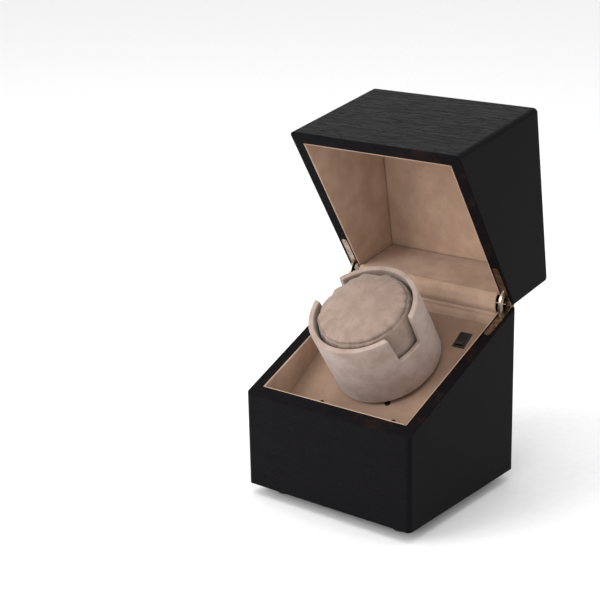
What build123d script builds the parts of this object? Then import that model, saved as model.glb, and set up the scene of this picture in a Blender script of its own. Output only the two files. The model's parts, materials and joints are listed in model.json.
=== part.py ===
"""Single watch winder box: a leather covered case with a tilted rotor and a hinged lid.

Units are millimetres. The origin is on the table, under the middle of the case, with +Z up and
+Y towards the back. The lid is built closed and then turned open about its hinge, which is
the pose that the part is stored in.
"""
from build123d import *
import math
import os

# ---- Case ------------------------------------------------------------------------------------
case_width = 140.0
case_depth = 131.4
case_height = 171.2
foot_height = 8.5
cut_front = 69.1          # height of the cut above the underside, at the front face
cut_back = 123.7          # and at the back face
edge_radius = 3.5
leather = 0.8
board = 8.0
lining = 0.9
lid_gap = 0.4             # between the two rims when the lid is shut
open_angle = 81.3         # lid held by its stays
felt_border = 9.0         # leather turned in under the case
rim_round = 0.7

# ---- Hinges ----------------------------------------------------------------------------------
hinge_inset = 1.3         # hinge axis in front of the back face
hinge_rise = 2.0          # hinge axis above the cut
leaf_x = 65.0             # middle of the leaf, across the case
leaf_width = 5.0
leaf_thickness = 1.2
base_leaf_length = 34.5
lid_leaf_length = 37.0
knuckle_radius = 1.8
pin_radius = 0.8
pin_clearance = 0.05
knuckle_width = 1.6
stay_thickness = 1.8
stay_inner = 10.6
stay_outer = 14.0
stay_start = -45.0        # degrees above the horizontal, in front of the axis
stay_end = 60.0
stay_head = 2.2
strip_inner = 10.45       # the suede strip is an arc about the hinge axis
strip_outer = 11.05
strip_start = -36.0       # at the base's rim
strip_end = 47.5          # at the lid's rim
strip_clearance = 0.6
leaf_screw_steps = [19.0, 29.0]
leaf_screw_radius = 0.9

# ---- Faceplate and rotor ---------------------------------------------------------------------
face_tilt = 32.6          # faceplate and rotor, from the horizontal
face_height = 77.3        # faceplate surface above the underside, at y = 0
face_board = 3.0
face_suede = 0.8
face_clearance = 0.2
rotor_y = 10.0
rotor_turn = -15.2        # how the cup happens to stand
cup_radius = 39.6
cup_core = 2.0
cup_skin = 0.8
cup_foot = 3.4            # cup floor above the faceplate
cup_rim = 58.0            # cup rim above the faceplate
cup_floor = 2.5
notch_floor = 34.6        # bottom of the notches above the faceplate
notch_top_width = 22.9
notch_bottom_width = 19.5
cushion_radius = 34.8
cushion_shoulder = 56.0
cushion_top = 65.0
cushion_base = 7.6
cushion_round = 6.0
cushion_lift = 12.0

# ---- Drive -----------------------------------------------------------------------------------
gear_module = 0.8
gear_teeth = 45
pinion_teeth = 15
gear_backlash = 0.14
gear_face = 4.0
gear_level = -12.0        # underside of the gear, from the faceplate
shaft_radius = 3.0
running_clearance = 0.04
chassis_top = -19.5
chassis_plate = 2.5
chassis_width = 50.0
chassis_length = 78.0
post_u = 18.5
post_v = 33.5
post_tuck = 4.0           # front left post, nearer the rotor's axis
post_radius = 3.6
bush_radius = 5.0
motor_radius = 10.0
gearbox_radius = 12.0
gearbox_length = 11.0
motor_length = 22.0
output_radius = 1.5

# ---- Switch, inlet and board -----------------------------------------------------------------
switch_u = 43.7
switch_v = 32.2
switch_width = 9.6
switch_length = 13.6
rocker_width = 6.6
rocker_length = 10.4
rocker_tilt = 8.0
inlet_x = -38.0
inlet_height = 17.0       # above the underside
pcb_x = -36.0
pcb_y = 22.0
pcb_width = 38.0
pcb_depth = 46.0
pcb_thickness = 1.6
pcb_lift = 4.0
lead_radius = 1.1

# ---- Feet ------------------------------------------------------------------------------------
foot_inset = 19.2
foot_radius = 7.2
foot_top_radius = 7.8
foot_screw_head = 2.8
face_screw_u = 31.0
face_screw_v = -46.4

# ---- Worked out ------------------------------------------------------------------------------
half_width = case_width / 2
half_depth = case_depth / 2
underside = foot_height
top_face = foot_height + case_height
cut_slope = math.degrees(math.atan2(cut_back - cut_front, case_depth))
wall = leather + board
inner_x = half_width - wall
inner_y = half_depth - wall
floor_top = underside + wall
lined_x = inner_x - lining
lined_y = inner_y - lining
hinge_y = half_depth - hinge_inset
hinge_z = underside + cut_back + hinge_rise
hinge_axis = Axis((0, hinge_y, hinge_z), (1, 0, 0))
reach = 400.0             # larger than the whole case

cut_plane = Plane(
    origin=(0, half_depth, underside + cut_back),
    x_dir=(1, 0, 0),
    z_dir=(0, -math.sin(math.radians(cut_slope)), math.cos(math.radians(cut_slope))),
)
face_plane = Plane(
    origin=(0, rotor_y, underside + face_height + rotor_y * math.tan(math.radians(face_tilt))),
    x_dir=(1, 0, 0),
    z_dir=(0, -math.sin(math.radians(face_tilt)), math.cos(math.radians(face_tilt))),
)
cup_frame = face_plane * Location((0, 0, 0), (0, 0, rotor_turn))
hinge_frame = Plane(origin=(0, hinge_y, hinge_z), x_dir=(0, -1, 0), z_dir=(-1, 0, 0))

parts = {}


# ---- Small builders --------------------------------------------------------------------------
def block(x_low, x_high, y_low, y_high, z_low, z_high):
    """A box between two corners."""
    size = (x_high - x_low, y_high - y_low, z_high - z_low)
    middle = ((x_low + x_high) / 2, (y_low + y_high) / 2, (z_low + z_high) / 2)
    return Pos(*middle) * Box(*size)


def disc(radius, low, high, inner=0.0):
    """A cylinder or a ring on the Z axis, between two heights."""
    shape = Pos(0, 0, (low + high) / 2) * Cylinder(radius, high - low)
    if inner > 0:
        shape -= Pos(0, 0, (low + high) / 2) * Cylinder(inner, high - low + 2)
    return shape


def across(radius, x_low, x_high):
    """A cylinder along the hinge axis."""
    place = Pos((x_low + x_high) / 2, hinge_y, hinge_z) * Rot(0, 90, 0)
    return place * Cylinder(radius, x_high - x_low)


def below_cut(offset):
    """Everything under the cut, moved along its normal by offset."""
    return cut_plane * block(-reach, reach, -reach, reach, offset - reach, offset)


def above_cut(offset):
    """Everything over the cut, moved along its normal by offset."""
    return cut_plane * block(-reach, reach, -reach, reach, offset, offset + reach)


def closed_case(inset):
    """The rounded case as one solid, inset on every side."""
    solid = block(
        -half_width + inset,
        half_width - inset,
        -half_depth + inset,
        half_depth - inset,
        underside + inset,
        top_face - inset,
    )
    low = underside + inset
    rounded = [e for e in solid.edges() if e.center().Z > low + 1]
    return fillet(rounded, edge_radius - inset)


def arc_plate(inner, outer, start, end, x_low, x_high):
    """A flat ring sector about the hinge axis, angles counted up from straight ahead."""
    middle = (start + end) / 2
    points = []
    for radius, angles in ((outer, (start, middle, end)), (inner, (end, middle, start))):
        for angle in angles:
            turn = math.radians(angle)
            points.append((radius * math.cos(turn), radius * math.sin(turn)))
    outline = [
        ThreePointArc(points[0], points[1], points[2]),
        Line(points[2], points[3]),
        ThreePointArc(points[3], points[4], points[5]),
        Line(points[5], points[0]),
    ]
    plate = extrude(make_face(outline), x_high - x_low)
    return Pos(x_high, 0, 0) * (hinge_frame * plate)


def open_lid(shape):
    """A lid part, turned from shut to open."""
    return shape.rotate(hinge_axis, -open_angle)


def mirrored(shape):
    """The same part on the other side of the case."""
    return mirror(shape, about=Plane.YZ)


def screw(radius, length, head_radius, head_height):
    """A pan head screw that points down, with the underside of its head at the origin."""
    shank = disc(radius, -length, 0.1)
    head = disc(head_radius, 0, head_height)
    head = fillet(head.edges().sort_by(Axis.Z)[-1:], head_height * 0.45)
    arm = head_radius * 0.62
    slot = head_radius * 0.16
    deep = head_height * 0.55
    cross = block(-arm, arm, -slot, slot, deep, head_height + 1)
    cross += block(-slot, slot, -arm, arm, deep, head_height + 1)
    return shank + head - cross


def flush_screw(radius, length, head_radius, head_height):
    """A countersunk screw that points down, with the top of its head at the origin."""
    cone = Pos(0, 0, -head_height / 2) * Cone(radius, head_radius, head_height)
    slot = block(-head_radius, head_radius, -0.18, 0.18, -0.35, 1)
    return cone + disc(radius, -length, -head_height + 0.05) - slot


# ---- Hinge hardware, built on the right with the lid shut ------------------------------------
def leaf_places(steps, level, turned):
    """Places for the leaf's screws, along the rim from the back."""
    places = []
    for step in steps:
        place = cut_plane * Location((leaf_x, -step, level), (180 if turned else 0, 0, 0))
        places.append(place)
    return places


def leaf_plate(length, back, low, high, grow=0.0):
    """A rim leaf with a rounded front end, from length to back behind it."""
    half = leaf_width / 2 + grow
    front = -length + leaf_width / 2
    plate = block(leaf_x - half, leaf_x + half, front, back, low, high)
    plate += Pos(leaf_x, front, 0) * disc(half, low, high)
    return cut_plane * plate


leaf_low_x = leaf_x - leaf_width / 2
leaf_high_x = leaf_x + leaf_width / 2
middle_knuckle = (leaf_x - knuckle_width / 2, leaf_x + knuckle_width / 2)
stay_low_x = leaf_x - stay_thickness / 2
stay_high_x = leaf_x + stay_thickness / 2
base_screw_level = 0.0
lid_screw_level = lid_gap

stay = arc_plate(stay_inner, stay_outer, stay_start, stay_end, stay_low_x, stay_high_x)
head_level = lid_gap + leaf_thickness + 0.12
head_low = stay_inner - 1.2
head_high = stay_outer + 1.2
head = cut_plane * block(
    stay_low_x,
    stay_high_x,
    -head_high - 0.4,
    -head_low - 0.4,
    head_level,
    head_level + stay_head,
)
stay_at_rest = stay + open_lid(head)
stay_at_rest -= open_lid(cut_plane * block(
    leaf_low_x, leaf_high_x, -30, 0, head_level + stay_head, head_level + 20,
))

stay_slot = arc_plate(
    stay_inner - 0.35, stay_outer + 0.35, stay_start - 3, 72, stay_low_x - 0.25, stay_high_x + 0.25,
)
head_pocket = arc_plate(
    head_low - 0.6, head_high + 0.6, -40, 76, stay_low_x - 0.45, stay_high_x + 0.45,
)
head_pocket &= above_cut(lid_gap + leaf_thickness)

barrel = across(knuckle_radius, leaf_low_x, leaf_high_x)
barrel_bore = across(pin_radius + pin_clearance, leaf_low_x - 1, leaf_high_x + 1)
base_knuckle_zone = block(leaf_low_x, middle_knuckle[0] - 0.1, 0, reach, 0, reach)
base_knuckle_zone += block(middle_knuckle[1] + 0.1, leaf_high_x, 0, reach, 0, reach)
web = cut_plane * block(leaf_low_x, leaf_high_x, -1.9, 1.0, -leaf_thickness, 2.3)
base_leaf = leaf_plate(base_leaf_length, -0.8, -leaf_thickness, 0)
base_leaf += (web + barrel) & base_knuckle_zone
base_leaf -= barrel_bore
base_leaf -= stay
lid_leaf = leaf_plate(lid_leaf_length, -3.2, lid_gap, lid_gap + leaf_thickness)
tab = cut_plane * block(*middle_knuckle, -4.0, -0.6, lid_gap, lid_gap + leaf_thickness)
lid_leaf += tab + across(knuckle_radius, *middle_knuckle)
lid_leaf -= barrel_bore
lid_leaf -= stay_slot

base_holes = [
    place * disc(leaf_screw_radius + 0.03, -9, 1)
    for place in leaf_places(leaf_screw_steps, base_screw_level, False)
]
base_screws = [
    place * flush_screw(leaf_screw_radius, 8, 1.7, 1.0)
    for place in leaf_places(leaf_screw_steps, base_screw_level, False)
]
lid_holes = [
    place * disc(leaf_screw_radius + 0.03, -9, 1)
    for place in leaf_places(leaf_screw_steps, lid_screw_level, True)
]
lid_screws = [
    place * flush_screw(leaf_screw_radius, 8, 1.7, 1.0)
    for place in leaf_places(leaf_screw_steps, lid_screw_level, True)
]
for one in base_screws:
    base_leaf -= one
for one in lid_screws:
    lid_leaf -= one

pin = across(pin_radius, leaf_low_x - 0.2, leaf_high_x + 0.2)
base_recess = leaf_plate(base_leaf_length, 0.5, -leaf_thickness, 2, grow=0.05)
lid_recess = leaf_plate(lid_leaf_length, 0.5, -2, lid_gap + leaf_thickness, grow=0.05)
lid_notch = block(
    leaf_low_x - 0.3,
    leaf_high_x + 0.3,
    hinge_y - 2.4,
    half_depth + 5,
    hinge_z - 8,
    hinge_z + 2.4,
)


def hinge_cuts(shape, cutters):
    """Take the hinge pockets and pilot holes out of a shape, on both sides."""
    for cutter in cutters:
        shape -= cutter
        shape -= mirrored(cutter)
    return shape


base_cutters = [base_recess, stay_slot] + base_holes
lid_cutters = [lid_recess, lid_notch, stay_slot, head_pocket] + lid_holes

# ---- Base shell ------------------------------------------------------------------------------
outer_base = closed_case(0) & below_cut(0)
core_base = closed_case(leather) & below_cut(-leather)
well = block(-inner_x, inner_x, -inner_y, inner_y, floor_top, reach)

rim_edges = [
    e for e in outer_base.edges()
    if abs(cut_plane.to_local_coords(e.center()).Z) < 0.01
]
base_leather = fillet(rim_edges, rim_round)
base_leather -= core_base
base_leather -= well
felt_x = half_width - felt_border
felt_y = half_depth - felt_border
base_leather -= block(-felt_x, felt_x, -felt_y, felt_y, 0, underside + leather)

foot_places = [
    (sx * (half_width - foot_inset), sy * (half_depth - foot_inset))
    for sy in (-1, 1) for sx in (-1, 1)
]
foot_screw_hole = disc(1.5, 0, underside + 7)
inlet_hole = Pos(inlet_x, half_depth - 6, underside + inlet_height) * Rot(90, 0, 0)
inlet_cut = inlet_hole * Cylinder(5.55, 30)

underside_felt = block(-felt_x, felt_x, -felt_y, felt_y, underside, underside + leather)
base_floor = core_base & block(-reach, reach, -reach, reach, 0, floor_top)
for x, y in foot_places:
    underside_felt -= Pos(x, y, 0) * disc(1.6, 0, 20)
    base_floor -= Pos(x, y, 0) * foot_screw_hole
pcb_z = floor_top + pcb_lift
pcb_holes = [
    (pcb_x + sx * (pcb_width / 2 - 3), pcb_y + sy * (pcb_depth / 2 - 3))
    for sx in (-1, 1) for sy in (-1, 1)
]
for x, y in pcb_holes:
    base_floor -= Pos(x, y, floor_top) * disc(1.05, -5, 1)
parts["base_floor"] = base_floor
parts["underside_felt"] = underside_felt

standing = core_base & block(-reach, reach, -reach, reach, floor_top, reach)
base_left = standing & block(-reach, -inner_x, -reach, reach, 0, reach)
base_right = standing & block(inner_x, reach, -reach, reach, 0, reach)
base_front = standing & block(-inner_x, inner_x, -reach, -inner_y, 0, reach)
base_back = standing & block(-inner_x, inner_x, inner_y, reach, 0, reach)
parts["base_left_wall"] = hinge_cuts(base_left, base_cutters)
parts["base_right_wall"] = hinge_cuts(base_right, base_cutters)
parts["base_front_wall"] = base_front
parts["base_back_wall"] = base_back - inlet_cut
parts["base_leather"] = hinge_cuts(base_leather, base_cutters) - inlet_cut


# ---- Base linings and faceplate --------------------------------------------------------------
def over_face(offset):
    """Everything over the faceplate surface, moved along its normal by offset."""
    return face_plane * block(-reach, reach, -reach, reach, offset, offset + reach)


face_stack = face_board + face_suede
lined_zone = below_cut(0) & over_face(-face_stack)
parts["base_lining_left"] = lined_zone & block(-inner_x, -lined_x, -inner_y, inner_y, 0, reach)
parts["base_lining_right"] = lined_zone & block(lined_x, inner_x, -inner_y, inner_y, 0, reach)
parts["base_lining_front"] = lined_zone & block(-lined_x, lined_x, -inner_y, -lined_y, 0, reach)

# The back lining is padded and swells forward towards the faceplate.
back_swell = 3.4
rim_at_back = underside + cut_back - wall * math.tan(math.radians(cut_slope))
face_at_back = underside + face_height + lined_y * math.tan(math.radians(face_tilt))
back_outline = Polyline(
    (inner_y, rim_at_back + 2),
    (lined_y, rim_at_back + 2),
    (lined_y, rim_at_back - 2.5),
    (lined_y - back_swell, face_at_back),
    (lined_y - back_swell, face_at_back - 12),
    (inner_y, face_at_back - 12),
    close=True,
)
back_section = Plane.YZ * make_face(back_outline)
parts["base_lining_back"] = Pos(-lined_x, 0, 0) * extrude(back_section, 2 * lined_x) & (
    below_cut(0) & over_face(-face_stack)
)

face_x = lined_x - face_clearance
face_front = -lined_y + face_clearance
face_back = lined_y - back_swell - face_clearance
face_zone = block(-face_x, face_x, face_front, face_back, 0, reach)
face_slab = face_plane * block(-reach, reach, -reach, reach, -face_stack, -face_suede)
suede_slab = face_plane * block(-reach, reach, -reach, reach, -face_suede, 0)
faceplate = face_zone & face_slab
faceplate_suede = face_zone & suede_slab
shaft_hole = face_plane * disc(bush_radius + 0.02, -30, 1)
switch_cut = face_plane * block(
    switch_u - switch_width / 2 + 0.6,
    switch_u + switch_width / 2 - 0.6,
    switch_v - switch_length / 2 + 0.6,
    switch_v + switch_length / 2 - 0.6,
    -40,
    1,
)
chassis_spots = [
    (-post_u, post_tuck - post_v),
    (post_u, -post_v),
    (-post_u, post_v),
    (post_u, post_v),
]
face_spots = [(sx * face_screw_u, face_screw_v) for sx in (-1, 1)]
faceplate -= shaft_hole + switch_cut
faceplate_suede -= shaft_hole + switch_cut
for u, v in chassis_spots + face_spots:
    hole = face_plane * Location((u, v, 0)) * disc(1.3, -8, 1)
    faceplate -= hole
    faceplate_suede -= hole
parts["faceplate"] = faceplate
parts["faceplate_suede"] = faceplate_suede

cleat_height = 8.0
cleat_width = 6.0
cleats = face_plane * block(
    -inner_x, inner_x, -reach, reach, -face_stack - cleat_height, -face_stack,
)
cleats &= block(-inner_x, inner_x, -lined_y + 2, lined_y - 8, 0, reach)
cleats -= block(-inner_x + cleat_width, inner_x - cleat_width, -lined_y + 10, reach, 0, reach)
cleats += face_plane * block(
    cleat_width - 1 - inner_x, inner_x - cleat_width + 1,
    face_screw_v - cleat_width / 2, face_screw_v + cleat_width / 2,
    -face_stack - cleat_height, -face_stack,
)
for u, v in face_spots:
    cleats -= face_plane * Location((u, v, 0)) * disc(1.22, -14, 1)
parts["faceplate_cleat"] = cleats

face_screw = screw(1.2, 8.5, 1.6, 0.9)
chassis_screw = screw(1.25, 10.5, 2.0, 1.0)
parts["faceplate_screws"] = Compound(children=[
    face_plane * Location((u, v, 0)) * face_screw for u, v in face_spots
])
parts["chassis_screws"] = Compound(children=[
    face_plane * Location((u, v, 0)) * chassis_screw for u, v in chassis_spots
])

# ---- Feet ------------------------------------------------------------------------------------
foot_profile = Polyline((0, 0), (foot_radius - 0.5, 0), (foot_radius, 0.5))
foot_profile += ThreePointArc(
    (foot_radius, 0.5), (foot_radius + 0.6, 4.4), (foot_top_radius, foot_height),
)
foot_profile += Polyline((foot_top_radius, foot_height), (0, foot_height), (0, 0))
foot = revolve(Plane.XZ * make_face(foot_profile), Axis.Z)
foot -= disc(foot_screw_head + 0.6, -1, 3.4)
foot -= disc(1.6, -1, foot_height + 1)
foot_screw = Location((0, 0, 3.4), (180, 0, 0)) * screw(1.45, 11, foot_screw_head, 1.8)
parts["rubber_feet"] = Compound(children=[Pos(x, y, 0) * foot for x, y in foot_places])
parts["foot_screws"] = Compound(children=[Pos(x, y, 0) * foot_screw for x, y in foot_places])

# ---- Hinges on the base ----------------------------------------------------------------------
parts["base_hinge_leaves"] = Compound(children=[base_leaf, mirrored(base_leaf)])
parts["hinge_stays"] = Compound(children=[stay_at_rest, mirrored(stay_at_rest)])
parts["hinge_pins"] = Compound(children=[pin, mirrored(pin)])
parts["base_hinge_screws"] = Compound(
    children=base_screws + [mirrored(one) for one in base_screws]
)

# ---- Lid -------------------------------------------------------------------------------------
outer_lid = closed_case(0) & above_cut(lid_gap)
core_lid = closed_case(leather) & above_cut(lid_gap + leather)
lid_under = top_face - wall
hollow = block(-inner_x, inner_x, -inner_y, inner_y, 0, lid_under)
lid_rim_edges = [
    e for e in outer_lid.edges()
    if abs(cut_plane.to_local_coords(e.center()).Z - lid_gap) < 0.01
]
lid_leather = fillet(lid_rim_edges, rim_round)
lid_leather -= core_lid
lid_leather -= hollow
lid_top = core_lid & block(-reach, reach, -reach, reach, lid_under, reach)
hanging = core_lid & block(-reach, reach, -reach, reach, 0, lid_under)
lid_left = hanging & block(-reach, -inner_x, -reach, reach, 0, reach)
lid_right = hanging & block(inner_x, reach, -reach, reach, 0, reach)
lid_front = hanging & block(-inner_x, inner_x, -reach, -inner_y, 0, reach)
lid_back = hanging & block(-inner_x, inner_x, inner_y, reach, 0, reach)
lid_zone = above_cut(lid_gap)
lid_parts = {
    "lid_leather": hinge_cuts(lid_leather, lid_cutters),
    "lid_top_board": lid_top,
    "lid_left_wall": hinge_cuts(lid_left, lid_cutters),
    "lid_right_wall": hinge_cuts(lid_right, lid_cutters),
    "lid_front_wall": lid_front,
    "lid_back_wall": lid_back,
    "lid_lining_top": block(
        -lined_x, lined_x, -lined_y, lined_y, lid_under - lining, lid_under,
    ),
    "lid_lining_left": lid_zone & block(
        -inner_x, -lined_x, -inner_y, inner_y, 0, lid_under,
    ),
    "lid_lining_right": lid_zone & block(
        lined_x, inner_x, -inner_y, inner_y, 0, lid_under,
    ),
    "lid_lining_front": lid_zone & block(
        -lined_x, lined_x, -inner_y, -lined_y, 0, lid_under,
    ),
    "lid_lining_back": lid_zone & block(
        -lined_x, lined_x, lined_y, inner_y, 0, lid_under,
    ),
    "lid_hinge_leaves": Compound(children=[lid_leaf, mirrored(lid_leaf)]),
    "lid_hinge_screws": Compound(
        children=lid_screws + [mirrored(one) for one in lid_screws]
    ),
}
for name, shape in lid_parts.items():
    parts[name] = open_lid(shape)

# ---- Suede strip that hides the gap behind the lid -------------------------------------------
strip_half = lined_x - strip_clearance
parts["hinge_gusset"] = arc_plate(
    strip_inner, strip_outer, strip_start, strip_end, -strip_half, strip_half,
)

# ---- Rotor -----------------------------------------------------------------------------------
def gear(teeth, face, bore, addendum=0.9):
    """A spur gear with involute flanks, standing on z = 0, with a gap centred on +X."""
    pitch = gear_module * teeth / 2
    base = pitch * math.cos(math.radians(20))
    tip = pitch + addendum * gear_module
    root = pitch - 1.2 * gear_module
    pitch_roll = math.tan(math.radians(20)) - math.radians(20)
    half_tooth = math.pi / (2 * teeth) - gear_backlash / (4 * pitch)
    steps = 5

    def flank_angle(radius):
        """Half of the tooth's angle at a radius."""
        ratio = min(1.0, base / radius)
        pressure = math.acos(ratio)
        return half_tooth + pitch_roll - (math.tan(pressure) - pressure)

    start = max(base, root)
    radii = [start + (tip - start) * i / (steps - 1) for i in range(steps)]
    blank = disc(root + 0.02, 0, face)
    lower = root - 0.3
    right = [Vector(r * math.cos(-flank_angle(r)), r * math.sin(-flank_angle(r))) for r in radii]
    left = [Vector(v.X, -v.Y) for v in right]
    foot_right = Vector(lower * math.cos(-flank_angle(start)), lower * math.sin(-flank_angle(start)))
    foot_left = Vector(foot_right.X, -foot_right.Y)
    outline = [
        Line(foot_right, right[0]),
        Spline(*right),
        Line(right[-1], left[-1]),
        Spline(*left[::-1]),
        Line(left[0], foot_left),
        Line(foot_left, foot_right),
    ]
    tooth = extrude(make_face(outline), face)
    step = 360 / teeth
    wheel = blank
    wheel += [Rot(0, 0, step * (i + 0.5)) * tooth for i in range(teeth)]
    return wheel - disc(bore, -1, face + 1)


centre_distance = gear_module * (gear_teeth + pinion_teeth) / 2
fit = 0.01
drive_gear = Rot(0, 0, -90) * gear(gear_teeth, gear_face, shaft_radius + fit)
drive_gear = Pos(0, 0, gear_level) * drive_gear
drive_gear += disc(6.0, gear_level - 2.5, gear_level, inner=shaft_radius + fit)
drive_gear -= disc(16.0, gear_level + 3.0, gear_level + 9, inner=8.0)
parts["drive_gear"] = face_plane * drive_gear

# The pinion has a tooth where the gear has a gap: it stands down-slope of the rotor.
half_step = 180 / pinion_teeth
pinion = Rot(0, 0, 90 + half_step) * gear(pinion_teeth, gear_face + 1, output_radius + fit)
pinion = Pos(0, 0, gear_level - 0.5) * pinion
pinion += disc(3.4, gear_level - 3.2, gear_level - 0.4, inner=output_radius + fit)
output_shaft = disc(output_radius, chassis_top - 7.5, gear_level + 5.5)
drive_place = face_plane * Location((0, -centre_distance, 0))
parts["motor_pinion"] = drive_place * pinion
parts["output_shaft"] = drive_place * output_shaft

shaft_low = chassis_top - 6.0
rotor_shaft = disc(shaft_radius, shaft_low, cup_foot + cup_floor)
rotor_shaft -= disc(shaft_radius + 1, shaft_low + 1.0, shaft_low + 1.7, inner=2.3)
parts["rotor_shaft"] = face_plane * rotor_shaft
clip = disc(4.6, shaft_low + 1.02, shaft_low + 1.68, inner=2.31)
clip -= block(0, 6, -1.6, 1.6, shaft_low, shaft_low + 3)
parts["shaft_clip"] = face_plane * clip

bore = shaft_radius + running_clearance
lower_bush = disc(bush_radius, chassis_top - 3.5, chassis_top, inner=bore)
lower_bush += disc(bush_radius + 1.5, chassis_top, chassis_top + 1.0, inner=bore)
upper_bush = disc(bush_radius, -face_stack, -0.2, inner=bore)
upper_bush += disc(bush_radius + 1.5, -face_stack - 1.0, -face_stack, inner=bore)
parts["rotor_bushes"] = Compound(children=[face_plane * lower_bush, face_plane * upper_bush])

hub_low = 0.8
hub = disc(7.0, hub_low, cup_foot, inner=shaft_radius + fit)
hub += disc(15.0, cup_foot - 1.6, cup_foot, inner=shaft_radius + fit)
hub_spots = PolarLocations(10.5, 3)
hub_screw = Pos(0, 0, cup_foot + cup_floor) * screw(1.0, 3.9, 1.9, 1.1)
hub_hole = disc(1.02, 0, cup_foot + cup_floor + 1)
for spot in hub_spots:
    hub -= spot * hub_hole
parts["turntable_hub"] = cup_frame * hub
parts["hub_screws"] = Compound(children=[cup_frame * spot * hub_screw for spot in hub_spots])


def notch_cutter(ease):
    """The pair of facing notches in the cup, made wider and deeper by ease on each side."""
    top = cup_rim + 6
    flare = (notch_top_width - notch_bottom_width) / 2 / (cup_rim - notch_floor)
    low = notch_floor - ease
    half_low = notch_bottom_width / 2 + ease
    half_high = notch_bottom_width / 2 + ease + flare * (top - notch_floor)
    outline = Polyline(
        (-half_low, low), (half_low, low), (half_high, top), (-half_high, top), close=True,
    )
    wedge = extrude(Plane.YZ * make_face(outline), 120)
    wedge = Pos(-60, 0, 0) * wedge
    corners = [e for e in wedge.edges() if abs(e.center().Z - low) < 0.1 and e.length > 60]
    return fillet(corners, 1.2 + ease)


core_outer = cup_radius - cup_skin
core_inner = core_outer - cup_core
skin_inner = core_inner - cup_skin
cup_shell = disc(core_outer, cup_foot, cup_rim - cup_skin, inner=core_inner)
cup_shell += disc(core_outer, cup_foot, cup_foot + cup_floor, inner=shaft_radius + fit)
cup_shell -= notch_cutter(cup_skin)
for spot in hub_spots:
    cup_shell -= spot * hub_hole
cup_cover = disc(cup_radius, cup_foot, cup_rim, inner=skin_inner)
rim_rings = [e for e in cup_cover.edges() if abs(e.center().Z - cup_rim) < 0.01]
cup_cover = fillet(rim_rings, 1.2)
cup_cover -= notch_cutter(0)
full_core = disc(core_outer, cup_foot - 1, cup_rim - cup_skin, inner=core_inner)
full_core -= notch_cutter(cup_skin)
cup_cover -= full_core
cup_cover -= disc(core_outer, cup_foot - 1, cup_foot + cup_floor)
parts["cup_shell"] = cup_frame * cup_shell
parts["cup_cover"] = cup_frame * cup_cover

cushion_outline = Polyline(
    (0, cushion_base),
    (cushion_radius, cushion_base),
    (cushion_radius, cushion_shoulder),
)
cushion_outline += ThreePointArc(
    (cushion_radius, cushion_shoulder),
    (cushion_radius / 2, cushion_shoulder + (cushion_top - cushion_shoulder) * 0.78),
    (0, cushion_top),
)
cushion_outline += Line((0, cushion_top), (0, cushion_base))
cushion = revolve(Plane.XZ * make_face(cushion_outline), Axis.Z)
cushion = fillet(cushion.edges().filter_by(GeomType.CIRCLE), cushion_round)
parts["watch_cushion"] = cup_frame * cushion

# ---- Drive unit under the faceplate ----------------------------------------------------------
chassis_low = chassis_top - chassis_plate
chassis = block(
    -chassis_width / 2, chassis_width / 2, -chassis_length / 2, chassis_length / 2,
    chassis_low, chassis_top,
)
chassis = fillet(chassis.edges().filter_by(Axis.Z), 5)
for u, v in chassis_spots:
    chassis += Pos(u, v, 0) * disc(post_radius, chassis_top - 0.1, -face_stack)
    chassis -= Pos(u, v, 0) * disc(1.27, -14, 1)
chassis -= disc(bush_radius, chassis_low - 1, chassis_top + 1)
chassis -= Pos(0, -centre_distance, 0) * disc(5.0, chassis_low - 1, chassis_top + 1)
gearbox_spots = [(sx * 8.5, -centre_distance) for sx in (-1, 1)]
for u, v in gearbox_spots:
    chassis -= Pos(u, v, 0) * disc(1.02, chassis_low - 1, chassis_top + 1)
parts["drive_chassis"] = face_plane * chassis

gearbox_low = chassis_low - gearbox_length
gearbox = disc(gearbox_radius, gearbox_low, chassis_low)
gearbox = fillet(gearbox.edges().sort_by(Axis.Z)[:1], 1.0)
gearbox += disc(4.0, chassis_low - 0.1, chassis_top + 0.6)
gearbox -= disc(output_radius + running_clearance, chassis_top - 8.0, chassis_top + 1)
for sx in (-1, 1):
    gearbox -= Pos(sx * 8.5, 0, 0) * disc(1.02, chassis_low - 5, chassis_low + 1)
parts["gearbox"] = drive_place * gearbox
motor_low = gearbox_low - motor_length
motor = disc(motor_radius, motor_low, gearbox_low)
motor = fillet(motor.edges().sort_by(Axis.Z)[:1], 1.5)
motor += disc(3.5, motor_low - 1.5, motor_low + 0.1)
parts["motor"] = drive_place * motor
gearbox_screw = Pos(0, 0, chassis_top) * screw(1.0, 6, 1.9, 1.2)

# ---- Switch ----------------------------------------------------------------------------------
switch_place = face_plane * Location((switch_u, switch_v, 0))
pivot_level = -0.4
bezel = block(
    -switch_width / 2, switch_width / 2, -switch_length / 2, switch_length / 2, 0, 1.0,
)
bezel = chamfer(bezel.edges().group_by(Axis.Z)[-1], 0.35)
body = block(
    -switch_width / 2 + 0.7,
    switch_width / 2 - 0.7,
    -switch_length / 2 + 0.7,
    switch_length / 2 - 0.7,
    -12,
    0.1,
)
window = block(
    -rocker_width / 2 - 0.25,
    rocker_width / 2 + 0.25,
    -rocker_length / 2 - 0.35,
    rocker_length / 2 + 0.35,
    -3.4,
    2,
)
switch_pin = Pos(0, 0, pivot_level) * Rot(0, 90, 0) * Cylinder(0.7, rocker_width + 1.2)
switch_bore = Pos(0, 0, pivot_level) * Rot(0, 90, 0) * Cylinder(0.75, rocker_width + 2)
terminals = [block(-0.3, 0.3, v - 1, v + 1, -17, -11.9) for v in (-3.2, 3.2)]
switch_housing = bezel + body - window + switch_pin
for blade in terminals:
    switch_housing += blade
rocker_outline = Polyline(
    (-rocker_length / 2 + 0.3, -2.4),
    (rocker_length / 2 - 0.3, -2.4),
    (rocker_length / 2, 1.3),
)
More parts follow.
